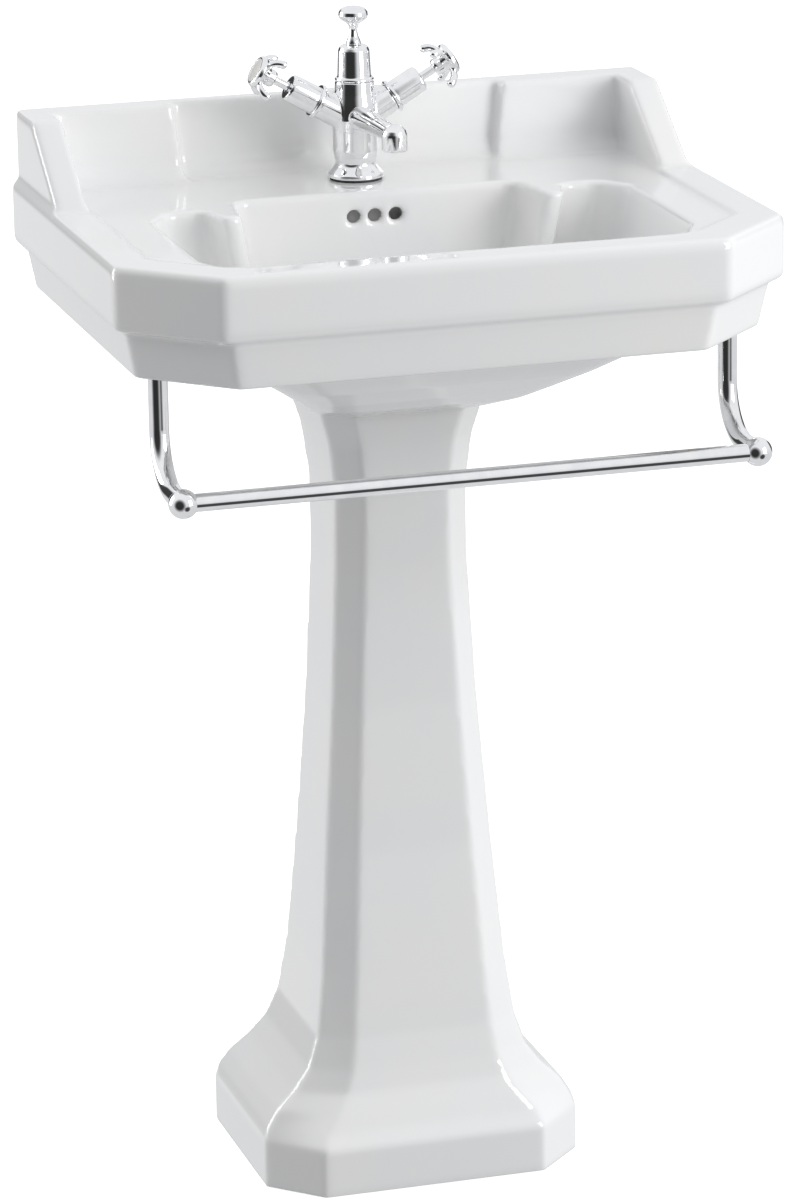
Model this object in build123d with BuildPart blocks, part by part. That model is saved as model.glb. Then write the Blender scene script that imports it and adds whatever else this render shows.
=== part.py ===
from build123d import *
from math import cos, radians, sin, tan
import os

# Pedestal wash basin with a single-hole mixer tap, pop-up waste, bottle trap and towel rail.
# X runs to the right, Y to the wall, Z up. The origin is on the floor, under the middle of the basin.

os.makedirs("parts", exist_ok=True)

# ---------------------------------------------------------------- driving sizes, millimetres
width = 610.0
depth = 470.0
rim_height = 916.0
upstand_rise = 66.0
tap_from_wall = 85.0
waste_from_wall = 192.0
knob_lift = 22.0
rail_span = 522.0

wall = depth / 2
front = -depth / 2
tap_y = wall - tap_from_wall
waste_y = wall - waste_from_wall

# clearances that the fitted pieces share
running = 0.06
slip = 0.15
thread_gap = 0.1

# basin
upper_band = 59.0
lower_band = 44.0
band_inset = 11.0
band_draft = 9.0
corner_cut = 78.0
corner_round = 9.0
rim_round = 5.0
band_round = 8.0
china = 12.0
lip_width = 37.0
shelf_drop = 4.0
bowl_half = 222.0
bowl_front_lip = 38.0
bowl_rear_from_wall = 148.0
bowl_floor_drop = 152.0
bowl_base_drop = 183.0
bowl_edge_roll = 5.0
hull_corner_r = 40.0

band_step_z = rim_height - upper_band
band_foot_z = band_step_z - lower_band
shelf_z = rim_height - shelf_drop
floor_z = rim_height - bowl_floor_drop
base_z = rim_height - bowl_base_drop
upstand_top = rim_height + upstand_rise

# upstand against the wall, with a thinner middle panel and a sloping cheek at each end
upstand_thick = 35.0
panel_thick = 21.0
panel_half = 150.0
panel_splay = 8.0
cove = 20.0
upstand_side_inset = 6.0
cheek_thick = 29.0
cheek_top = 69.0
cheek_foot = 162.0

# overflow: three holes in the rear of the bowl, a duct inside the china down to the waste
overflow_hole_r = 6.5
overflow_pitch = 20.0
overflow_drop = 27.0
duct_half = 34.0
duct_deep = 16.0
duct_wall = 10.0
passage_half = 12.0
passage_high = 10.0

tap_hole_r = 17.5
wall_hole_r = 7.0
wall_hole_pitch = 280.0
wall_hole_drop = 62.0

# pedestal
ped_wall = 9.0
seal_thick = 2.0
plinth_high = 46.0
plinth_half = 152.0
plinth_front = 295.0
plinth_back = 65.0
plinth_cut = 46.0
foot_hole_r = 5.0
foot_lug = 34.0
foot_lug_thick = 12.0

# tap
arm_rise = 30.0
arm_centre_up = 52.7
tap_flange_r = 26.0
tap_waist_r = 18.4
tap_belly_r = 20.8
hub_r = 18.0
bell_r = 15.3
bell_top = 120.0
ring_z = 91.0
spout_reach = 128.0
nozzle_r = 11.7
nozzle_drop = 45.0
lift_rod_r = 2.5
knob_r = 13.8
branch_r = 13.5
shroud_r = 13.2
shroud_from = 44.0
shroud_to = 73.0
spindle_r = 4.0
hub_from = 91.0
face_at = 108.0
bezel_r = 15.5
index_r = 11.5
arm_tip_r = 4.2
arm_tip_reach = 23.0
arm_r = 3.4
screw_r = 1.8
tail_r = 5.0
tail_bore = 3.7
tail_spread = 10.5
tail_length = 285.0
tail_splay = 36.0
sized_end = 50.0
sizing = 0.5
stud_r = 3.9

# waste and trap
tube_r = 20.8
waste_hole_r = tube_r + 1.7
flange_r = tube_r + 10.2
tube_bore = tube_r - 3.8
tail_pipe_r = tube_r - 4.8
ball_r = 5.5
pivot_rod_r = 2.5
inner_arm = tube_r + 7.2
cup_r = tail_pipe_r + 11
outlet_r = 16.0

# towel rail
rail_r = 8.0
hanger_r = 8.8
rail_ball_r = hanger_r + 4.2
hanger_from_wall = 364.0
rail_from_wall = 443.0
rail_drop = 200.0
hanger_bend = 48.0
socket_roof = 25.0
hanger_socket = upper_band - china - socket_roof

seam = 0.3
eps = 0.5


def save(part, label):
    part.label = label
    export_step(part, f"parts/{label}.step")


def turned(points, axis):
    """A face from (radius, height) points in the current sketch, turned about an axis."""
    beside = across(axis)
    with BuildSketch(Plane(axis.position, x_dir=beside, z_dir=beside.cross(axis.direction))) as profile:
        with BuildLine():
            Polyline(points, close=True)
        make_face()
    revolve(profile.sketch, axis=axis)


def across(axis):
    """A direction at right angles to an axis in the XZ plane."""
    return Vector(0, 1, 0).cross(axis.direction)


def ball(centre, radius, pole, beside):
    """Half a disc turned about the pole direction."""
    with BuildSketch(Plane(centre, x_dir=pole, z_dir=beside)) as half_disc:
        Circle(radius)
        with Locations((0, -radius)):
            Rectangle(2 * radius, 2 * radius, mode=Mode.SUBTRACT)
    revolve(half_disc.sketch, axis=Axis(centre, pole))


def ring(plane, outer, inner, thick):
    with BuildSketch(plane) as washer:
        Circle(outer)
        Circle(inner, mode=Mode.SUBTRACT)
    extrude(washer.sketch, amount=thick)


def level(z, y=0.0):
    return Plane((0, y, z))


def facing_front(y):
    return Plane.XZ.offset(-y)


def facing_wall(y):
    return Plane((0, y, 0), x_dir=(-1, 0, 0), z_dir=(0, 1, 0))


def cut_corner_outline(half, y_front, y_back, cut, round_r):
    """Plan of the basin: straight sides and back, front corners cut off and a little rounded."""
    with BuildLine() as outline:
        Polyline(
            (-half, y_back),
            (-half, y_front + cut),
            (-half + cut, y_front),
            (half - cut, y_front),
            (half, y_front + cut),
            (half, y_back),
            close=True,
        )
    make_face(outline.edges())
    corners = vertices().filter_by(lambda v: v.Y < y_back - 1)
    fillet(corners, radius=round_r)


def bowl_outline(half, y_front, y_rear, lobe):
    """Plan of the bowl: a lobe reaches back at each rear corner, beside a pier that stands forward."""
    pier_in = half - 90 * lobe
    pier_front = y_rear - 66 * lobe
    ear_rear = y_rear - 28 * lobe
    right = [
        (pier_in, y_rear, 14 * lobe),
        (pier_in + 10 * lobe, pier_front, 9 * lobe),
        (pier_in + 26 * lobe, pier_front, 9 * lobe),
        (pier_in + 36 * lobe, ear_rear, 12 * lobe),
        (half - 20 * lobe, ear_rear, 16 * lobe),
        (half, ear_rear - 30 * lobe, 16 * lobe),
        (half, y_front + 56 * lobe, 30 * lobe),
        (half - 26 * lobe, y_front, 20 * lobe),
    ]
    left = [(-x, y, r) for x, y, r in reversed(right)]
    corners = right + left
    with BuildLine() as outline:
        Polyline([(x, y) for x, y, r in corners], close=True)
    make_face(outline.edges())
    for x, y, r in corners:
        fillet(vertices().sort_by_distance((x, y, 0))[0], radius=r)


# ================================================================ basin
bowl_front = front + bowl_front_lip
bowl_rear = wall - bowl_rear_from_wall
bowl_rear_outer = bowl_rear + duct_wall + duct_deep + china
hanger_y = wall - hanger_from_wall
boss_r = hanger_r + 8.2
boss_z = shelf_z - china - hanger_socket - 2
half_width = width / 2
apron_inset = band_inset + band_draft
bowl_sections = [
    (rim_height + rim_round, bowl_half + bowl_edge_roll, bowl_front - bowl_edge_roll / 2, bowl_rear, 1.0),
    (shelf_z - bowl_edge_roll, bowl_half, bowl_front, bowl_rear, 1.0),
    (floor_z + 96, bowl_half - 12, bowl_front + 8, bowl_rear, 0.95),
    (floor_z + 57, bowl_half - 40, bowl_front + 28, bowl_rear - 1, 0.8),
    (floor_z + 26, bowl_half - 84, bowl_front + 66, bowl_rear - 3, 0.6),
    (floor_z + 8, bowl_half - 116, bowl_front + 102, bowl_rear - 6, 0.42),
    (floor_z, bowl_half - 140, bowl_front + 132, waste_y + flange_r + 1, 0.3),
]
hull_sections = [
    (shelf_z - china / 2, bowl_half + china, bowl_front - china),
    (floor_z + 86, bowl_half - 2, bowl_front - 4),
    (floor_z + 49, bowl_half - 30, bowl_front + 16),
    (floor_z + 18, bowl_half - 74, bowl_front + 58),
    (floor_z - 2, bowl_half - 100, bowl_front + 94),
    (floor_z - 16, bowl_half - 116, bowl_front + 122),
    (base_z, bowl_half - 134, bowl_front + 165),
]

with BuildPart() as basin:
    # upper band with its rolled edges
    with BuildSketch(Plane.XY.offset(band_step_z)):
        cut_corner_outline(half_width, front, wall, corner_cut, corner_round)
    extrude(amount=upper_band)
    outer_edges = edges().filter_by(lambda e: e.center().Y < wall - 1 and abs(e.tangent_at(0.5).Z) < 0.1)
    fillet(outer_edges.group_by(Axis.Z)[-1], radius=rim_round)
    outer_edges = edges().filter_by(lambda e: e.center().Y < wall - 1 and abs(e.tangent_at(0.5).Z) < 0.1)
    fillet(outer_edges.group_by(Axis.Z)[0], radius=band_round)
    # lower band, drawn in behind the step
    with BuildSketch(Plane.XY.offset(band_foot_z)):
        cut_corner_outline(half_width - apron_inset, front + apron_inset - 3, wall, corner_cut - 4, corner_round)
    with BuildSketch(Plane.XY.offset(band_step_z + eps)):
        cut_corner_outline(half_width - band_inset, front + band_inset - 2, wall, corner_cut - 2, corner_round)
    loft(ruled=True)
    # hollow under the deck, between the outer walls and the bowl
    with BuildSketch(Plane.XY.offset(band_foot_z - eps)):
        cut_corner_outline(
            half_width - apron_inset - china,
            front + apron_inset + china - 3,
            wall - china,
            corner_cut - 8,
            corner_round,
        )
    extrude(amount=shelf_z - china - band_foot_z + eps, mode=Mode.SUBTRACT)
    with BuildSketch(Plane.XY.offset(band_step_z + band_round)):
        cut_corner_outline(half_width - china, front + china, wall - china, corner_cut - 6, corner_round)
    extrude(amount=upper_band - shelf_drop - china - band_round, mode=Mode.SUBTRACT)
    # bosses under the deck that take the towel rail's hangers
    with BuildSketch(Plane.XY.offset(boss_z)):
        with Locations((0, hanger_y)):
            with GridLocations(rail_span, 1, 2, 1):
                Circle(boss_r)
    extrude(amount=shelf_z - china - boss_z + eps)
    with BuildSketch(Plane.XY.offset(boss_z - eps)):
        with Locations((0, hanger_y)):
            with GridLocations(rail_span, 1, 2, 1):
                Circle(hanger_r + slip)
    extrude(amount=hanger_socket + eps, mode=Mode.SUBTRACT)
    # outside of the bowl
    for z, half, y_front in hull_sections:
        with BuildSketch(Plane.XY.offset(z)):
            with Locations((0, (y_front + bowl_rear_outer) / 2)):
                RectangleRounded(2 * half, bowl_rear_outer - y_front, hull_corner_r)
    loft(ruled=True)
    # sunken shelf inside the raised lip
    with BuildSketch(Plane.XY.offset(shelf_z)):
        cut_corner_outline(half_width - lip_width, bowl_front + 5, wall + eps, corner_cut - 20, corner_round)
    extrude(amount=shelf_drop + rim_round, mode=Mode.SUBTRACT)
    # upstand, with a cove where it meets the deck
    upstand_half = half_width - upstand_side_inset
    with BuildSketch(Plane.YZ.offset(-upstand_half)):
        with BuildLine():
            Polyline(
                (wall - upstand_thick - cove, shelf_z - 2),
                (wall - upstand_thick - cove, shelf_z),
            )
            CenterArc((wall - upstand_thick - cove, shelf_z + cove), cove, -90, 90)
            Polyline(
                (wall - upstand_thick, shelf_z + cove),
                (wall - upstand_thick, upstand_top),
                (wall, upstand_top),
                (wall, shelf_z - 2),
                (wall - upstand_thick - cove, shelf_z - 2),
            )
        make_face()
    extrude(amount=2 * upstand_half)
    # thinner middle panel with splayed ends
    with BuildSketch(facing_front(wall - panel_thick)):
        with BuildLine():
            Polyline(
                (-panel_half, shelf_z),
                (-panel_half - panel_splay, upstand_top + eps),
                (panel_half + panel_splay, upstand_top + eps),
                (panel_half, shelf_z),
                close=True,
            )
        make_face()
    extrude(amount=upstand_thick + cove, mode=Mode.SUBTRACT)
    with BuildSketch(Plane.YZ.offset(-panel_half - 1)):
        with BuildLine():
            Line((wall - panel_thick - cove, shelf_z - 1), (wall - panel_thick - cove, shelf_z))
            CenterArc((wall - panel_thick - cove, shelf_z + cove), cove, -90, 90)
            Polyline(
                (wall - panel_thick, shelf_z + cove),
                (wall - panel_thick + 2, shelf_z + cove),
                (wall - panel_thick + 2, shelf_z - 1),
                (wall - panel_thick - cove, shelf_z - 1),
            )
        make_face()
    extrude(amount=2 * panel_half + 2)
    # sloping cheeks
    for x in (-upstand_half, upstand_half - cheek_thick):
        with BuildSketch(Plane.YZ.offset(x)):
            with BuildLine():
                Polyline(
                    (wall, shelf_z - 2),
                    (wall, upstand_top),
                    (wall - cheek_top, upstand_top),
                    (wall - cheek_foot, rim_height),
                    (wall - cheek_foot - 6, shelf_z - 2),
                    close=True,
                )
            make_face()
            fillet(vertices().sort_by_distance((wall - cheek_top, upstand_top, 0))[0], radius=18)
        extrude(amount=cheek_thick)
    # inside of the bowl
    for z, half, y_front, y_rear, lobe in bowl_sections:
        with BuildSketch(Plane.XY.offset(z)):
            bowl_outline(half, y_front, y_rear, lobe)
    loft(ruled=True, mode=Mode.SUBTRACT)
    # overflow holes, duct and passage to the waste
    overflow_z = rim_height - overflow_drop
    duct_y = bowl_rear + duct_wall
    with BuildSketch(facing_front(duct_y + duct_deep / 2)):
        with Locations((0, overflow_z)):
            with GridLocations(overflow_pitch, 1, 3, 1):
                Circle(overflow_hole_r)
    extrude(amount=duct_deep / 2 + duct_wall + 10, mode=Mode.SUBTRACT)
    passage_z = floor_z - china - passage_high
    with BuildSketch(Plane.XY.offset(passage_z)):
        with Locations((0, duct_y + duct_deep / 2)):
            Rectangle(2 * duct_half, duct_deep)
    extrude(amount=overflow_z + 10 - passage_z, mode=Mode.SUBTRACT)
    with BuildSketch(Plane.XY.offset(passage_z)):
        with Locations((0, (duct_y + waste_y) / 2)):
            Rectangle(2 * passage_half, duct_y - waste_y + 1)
    extrude(amount=passage_high, mode=Mode.SUBTRACT)
    # holes for the waste, the tap and the wall bolts
    with BuildSketch(Plane.XY.offset(base_z - eps)):
        with Locations((0, waste_y)):
            Circle(waste_hole_r)
    extrude(amount=floor_z - base_z + 3, mode=Mode.SUBTRACT)
    with BuildSketch(Plane.XY.offset(shelf_z - china - 1)):
        with Locations((0, tap_y)):
            Circle(tap_hole_r)
    extrude(amount=china + 3, mode=Mode.SUBTRACT)
    with BuildSketch(facing_front(wall + eps)):
        with Locations((0, rim_height - wall_hole_drop)):
            with GridLocations(wall_hole_pitch, 1, 2, 1):
                Circle(wall_hole_r)
    extrude(amount=china + 2 * eps, mode=Mode.SUBTRACT)
save(basin.part, "basin")


# ================================================================ pedestal
def shaft_outline(half, y_front, cut_x, cut_y, y_back):
    """Plan of the pedestal: cut front corners, open or straight back."""
    with BuildLine() as outline:
        Polyline(
            (-half, y_back),
            (-half, y_front + cut_y),
            (-half + cut_x, y_front),
            (half - cut_x, y_front),
            (half, y_front + cut_y),
            (half, y_back),
            close=True,
        )
    make_face(outline.edges())
    corners = vertices().filter_by(lambda v: v.Y < y_back - 1)
    fillet(corners, radius=shaft_round)


shaft_round = 6.0
ped_top = base_z - seal_thick
shaft_high = ped_top - plinth_high
# height, half width, front from wall, corner cut across, corner cut along, back from wall
foot_sections = [
    (plinth_high, plinth_half, plinth_front, plinth_cut, plinth_cut, plinth_back),
    (plinth_high + 12, plinth_half - 4, plinth_front - 10, plinth_cut, 38.0, plinth_back),
    (plinth_high + 28, 138.0, 277.0, 50.0, 30.0, plinth_back + 6),
    (plinth_high + 44, 121.0, 268.0, 44.0, 24.0, plinth_back + 12),
    (plinth_high + 64, 106.0, 264.0, 36.0, 22.0, plinth_back + 20),
    (plinth_high + 94, 96.0, 260.0, 30.0, 22.0, plinth_back + 30),
    (plinth_high + 150, 89.0, 255.0, 27.0, 24.0, plinth_back + 42),
]
# share of the shaft's height, then as above
shaft_sections = [
    (0.39, 80.0, 245.0, 25.0, 25.0, 119.0),
    (0.59, 70.0, 237.0, 23.0, 23.0, 125.0),
    (0.78, 63.5, 234.0, 23.0, 23.0, 127.0),
    (0.88, 62.5, 236.0, 23.0, 23.0, 124.0),
    (0.95, 68.0, 241.0, 24.0, 24.0, 118.0),
    (1.0, 78.0, 248.0, 26.0, 26.0, 110.0),
]
shaft_sections = [(plinth_high + share * shaft_high, *rest) for share, *rest in shaft_sections]

with BuildPart() as pedestal:
    with BuildSketch(Plane.XY):
        shaft_outline(plinth_half, wall - plinth_front, plinth_cut, plinth_cut, wall - plinth_back)
    extrude(amount=plinth_high)
    for z, half, y_front, cut_x, cut_y, y_back in foot_sections + shaft_sections:
        with BuildSketch(Plane.XY.offset(z)):
            shaft_outline(half, wall - y_front, cut_x, cut_y, wall - y_back)
    loft(ruled=True)
    # hollow inside, open to the back and the floor
    with BuildSketch(Plane.XY.offset(-eps)):
        shaft_outline(
            plinth_half - ped_wall,
            wall - plinth_front + ped_wall,
            plinth_cut - 4,
            plinth_cut - 4,
            wall - plinth_back + 20,
        )
    extrude(amount=plinth_high - 6 + eps, mode=Mode.SUBTRACT)
    inner = [(z - 6, half - ped_wall, y_front - ped_wall, cut_x - 3, cut_y - 3) for z, half, y_front, cut_x, cut_y, _ in
             foot_sections + shaft_sections]
    inner[-1] = (ped_top + eps, *inner[-1][1:])
    for z, half, y_front, cut_x, cut_y in inner:
        with BuildSketch(Plane.XY.offset(z)):
            shaft_outline(half, wall - y_front, cut_x, cut_y, wall - plinth_back + 20)
    loft(ruled=True, mode=Mode.SUBTRACT)
    # lugs inside the foot for the floor screws
    lug_y = wall - plinth_back - foot_lug
    for x in (-1, 1):
        with BuildSketch(Plane.XY):
            with Locations((x * (plinth_half - ped_wall - foot_lug / 2 + 1), lug_y)):
                RectangleRounded(foot_lug + 2, foot_lug, 4)
        extrude(amount=foot_lug_thick)
    with BuildSketch(Plane.XY.offset(-eps)):
        with Locations((0, lug_y)):
            with GridLocations(2 * (plinth_half - ped_wall - foot_lug / 2), 1, 2, 1):
                Circle(foot_hole_r)
    extrude(amount=foot_lug_thick + 2 * eps, mode=Mode.SUBTRACT)
save(pedestal.part, "pedestal")

with BuildPart() as pedestal_cushion:
    z, half, y_front, cut_x, cut_y, y_back = shaft_sections[-1]
    with BuildSketch(Plane.XY.offset(ped_top)):
        shaft_outline(half - 2, wall - y_front + 2, cut_x, cut_y, wall - y_back)
    extrude(amount=seal_thick)
    with BuildSketch(Plane.XY.offset(ped_top - eps)):
        shaft_outline(half - ped_wall + 1, wall - y_front + ped_wall - 1, cut_x - 3, cut_y - 3, wall)
    extrude(amount=seal_thick + 2 * eps, mode=Mode.SUBTRACT)
save(pedestal_cushion.part, "pedestal_cushion")

# ================================================================ tap
deck = shelf_z
tap_seal_thick = 2.0
tap_foot = deck + tap_seal_thick
tap_axis = Axis((0, tap_y, 0), (0, 0, 1))
arm_z = deck + arm_centre_up
rise = radians(arm_rise)
ring_top = rim_height + ring_z
bell_peak = rim_height + bell_top
hot_cold = {"hot": -1, "cold": 1}


def arm_axis(side):
    return Axis((0, tap_y, arm_z), (side * cos(rise), 0, sin(rise)))


def on_arm(side, along):
    """A plane across a branch, at a distance from the tap's middle line."""
    axis = arm_axis(side)
    return Plane(axis.position + axis.direction * along, x_dir=(0, -1, 0), z_dir=axis.direction)


with BuildPart() as tap_seal:
    ring(level(deck, tap_y), tap_flange_r - 2, tap_hole_r - 1, tap_seal_thick)
save(tap_seal.part, "tap_seal")

cartridge_r = 9.0
mixing_r = 4.5
belly_z = rim_height + 42
spout_root_z = rim_height + 55
with BuildPart() as tap_body:
    turned(
        [
            (0, tap_foot),
            (tap_flange_r, tap_foot),
            (tap_flange_r, tap_foot + 3.4),
            (tap_flange_r - 1.2, tap_foot + 5),
            (tap_waist_r + 3, tap_foot + 8.4),
            (tap_waist_r + 0.8, tap_foot + 11.4),
            (tap_waist_r, tap_foot + 14),
            (tap_belly_r - 1, tap_foot + 18.5),
            (tap_belly_r, tap_foot + 25),
            (tap_belly_r, belly_z),
            (tap_belly_r + 1, belly_z + 10),
            (hub_r + 2.5, belly_z + 24),
            (hub_r + 0.6, belly_z + 34),
            (hub_r, ring_top - 4),
            (0, ring_top - 4),
        ],
        tap_axis,
    )
    for side in hot_cold.values():
        with BuildSketch(on_arm(side, 2)) as branch:
            Circle(branch_r + 1)
        with BuildSketch(on_arm(side, shroud_from - 4)) as branch_end:
            Circle(branch_r)
        loft([branch.sketch, branch_end.sketch])
    # bores: cartridges, inlets, mixing ways to the spout, lift rod
    for side in hot_cold.values():
        with BuildSketch(on_arm(side, 17)) as seat:
            Circle(cartridge_r)
        extrude(seat.sketch, amount=shroud_from, mode=Mode.SUBTRACT)
        with BuildSketch(level(tap_foot - eps, tap_y)) as inlet:
            with Locations((side * tail_spread, 3)):
                Circle(tail_r - sizing + running)
        extrude(inlet.sketch, amount=10, mode=Mode.SUBTRACT)
        with BuildSketch(level(tap_foot, tap_y)) as inlet_way:
            with Locations((side * (tail_spread + 1), 3)):
                Circle(tail_r - 2)
        extrude(inlet_way.sketch, amount=arm_z - tap_foot, mode=Mode.SUBTRACT)
        start = Vector(side * 15, tap_y, arm_z + 6)
        finish = Vector(0, tap_y - 12, spout_root_z)
        with BuildSketch(Plane(start, z_dir=finish - start)) as way:
            Circle(2.5)
        extrude(way.sketch, amount=(finish - start).length, mode=Mode.SUBTRACT)
    with BuildSketch(facing_front(tap_y - 9)) as spout_way:
        with Locations((0, spout_root_z)):
            Circle(mixing_r)
    extrude(spout_way.sketch, amount=30, mode=Mode.SUBTRACT)
    with BuildSketch(facing_front(tap_y - 16)) as spout_socket:
        with Locations((0, spout_root_z)):
            Circle(8)
    extrude(spout_socket.sketch, amount=12, mode=Mode.SUBTRACT)
    with BuildSketch(level(tap_foot - eps, tap_y)) as rod_way:
        Circle(lift_rod_r + running)
    extrude(rod_way.sketch, amount=120, mode=Mode.SUBTRACT)
    with BuildSketch(level(tap_foot - eps, tap_y)) as stud_hole:
        with Locations((0, -11)):
            Circle(stud_r + thread_gap)
    extrude(stud_hole.sketch, amount=14, mode=Mode.SUBTRACT)
save(tap_body.part, "tap_body")

with BuildPart() as bell:
    turned(
        [
            (0, ring_top - 4),
            (bell_r + 2.5, ring_top - 4),
            (bell_r + 3, ring_top - 2.5),
            (bell_r + 2.5, ring_top - 1),
            (bell_r + 0.6, ring_top),
            (bell_r - 0.4, bell_peak - 9),
            (bell_r - 0.8, bell_peak - 4.5),
            (bell_r - 2.2, bell_peak - 1.6),
            (bell_r - 4.6, bell_peak - 0.3),
            (bell_r - 7, bell_peak),
            (0, bell_peak),
        ],
        tap_axis,
    )
    with BuildSketch(level(ring_top - 5, tap_y)) as inside:
        Circle(bell_r - 2.5)
    extrude(inside.sketch, amount=bell_peak - ring_top - 1, mode=Mode.SUBTRACT)
    with BuildSketch(level(bell_peak - 10, tap_y)) as guide:
        Circle(lift_rod_r + running)
    extrude(guide.sketch, amount=20, mode=Mode.SUBTRACT)
save(bell.part, "bell")

# spout: an oval arm that thins towards a round nozzle
nozzle_y = tap_y - spout_reach
nozzle_mouth = rim_height + nozzle_drop
nozzle_top = nozzle_mouth + 24
nozzle_axis = Axis((0, nozzle_y, 0), (0, 0, 1))
spout_sections = [
    (15.5, 12.0, 12.0, spout_root_z),
    (40.0, 12.0, 10.5, spout_root_z + 1),
    (80.0, 10.5, 8.5, spout_root_z + 2.5),
    (spout_reach, 9.0, 6.8, spout_root_z + 3),
]
with BuildPart() as spout:
    for reach, half_x, half_z, z in spout_sections:
        with BuildSketch(facing_front(tap_y - reach)):
            with Locations((0, z)):
                Ellipse(half_x, half_z)
    loft()
    with BuildSketch(level(tap_foot, tap_y)) as body_room:
        Circle(tap_belly_r + 1.6)
    extrude(body_room.sketch, amount=120, mode=Mode.SUBTRACT)
    with BuildSketch(facing_front(tap_y - 17)) as spigot:
        with Locations((0, spout_root_z)):
            Circle(8 - thread_gap)
    extrude(spigot.sketch, amount=10)
    turned(
        [
            (0, nozzle_mouth),
            (nozzle_r, nozzle_mouth),
            (nozzle_r, nozzle_top - 9),
            (nozzle_r - 1.5, nozzle_top - 5),
            (nozzle_r - 5, nozzle_top - 1.5),
            (nozzle_r - 9, nozzle_top),
            (0, nozzle_top),
        ],
        nozzle_axis,
    )
    with BuildSketch(facing_front(tap_y - 16)) as waterway:
        with Locations((0, spout_root_z + 1)):
            Circle(mixing_r)
    extrude(waterway.sketch, amount=spout_reach - 16, mode=Mode.SUBTRACT)
    with BuildSketch(level(nozzle_mouth - eps, nozzle_y)) as mouth:
        Circle(nozzle_r - 2)
    extrude(mouth.sketch, amount=14, mode=Mode.SUBTRACT)
save(spout.part, "spout")

with BuildPart() as flow_straightener:
    ring(level(nozzle_mouth + 1.5, nozzle_y), nozzle_r - 2 - slip, nozzle_r - 3.5, 7)
    with BuildSketch(level(nozzle_mouth + 1.5, nozzle_y)) as vanes:
        for turn in (0, 45, 90, 135):
            Rectangle(2 * (nozzle_r - 3), 0.9, rotation=turn)
    extrude(vanes.sketch, amount=7)
save(flow_straightener.part, "flow_straightener")

tap_stud_low = deck - china - 32
with BuildPart() as tap_stud:
    with BuildSketch(level(tap_stud_low, tap_y)):
        with Locations((0, -11)):
            Circle(stud_r)
    extrude(amount=tap_foot + 12 - tap_stud_low)
save(tap_stud.part, "tap_stud")

plate_r = 22.0


def plate_outline():
    """Horseshoe under the deck, open at the back for the tails and the lift rod."""
    Circle(plate_r)
    with Locations((0, 8)):
        RectangleRounded(36, 24, 8, mode=Mode.SUBTRACT)
    with Locations((0, 16)):
        Rectangle(36, 16, mode=Mode.SUBTRACT)
    with Locations((0, -11)):
        Circle(stud_r + slip, mode=Mode.SUBTRACT)


clamp_seal_thick = 3.0
under_deck = deck - china
for label, top, thick in (
    ("clamp_seal", under_deck, clamp_seal_thick),
    ("clamp_plate", under_deck - clamp_seal_thick, 2.5),
):
    with BuildPart() as piece:
        with BuildSketch(level(top - thick, tap_y)):
            plate_outline()
        extrude(amount=thick)
    save(piece.part, label)

with BuildPart() as stud_nut:
    with BuildSketch(level(under_deck - clamp_seal_thick - 2.5 - 22, tap_y)):
        with Locations((0, -11)):
            RegularPolygon(6.4, 6)
            Circle(stud_r + thread_gap, mode=Mode.SUBTRACT)
    extrude(amount=22)
save(stud_nut.part, "stud_nut")

tail_low = tap_foot + 9 - tail_length
splay_top = tap_foot - 128
splay_foot = splay_top - 64


def tail_point(x, z):
    return Vector(x, tap_y + 3, z)


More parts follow.
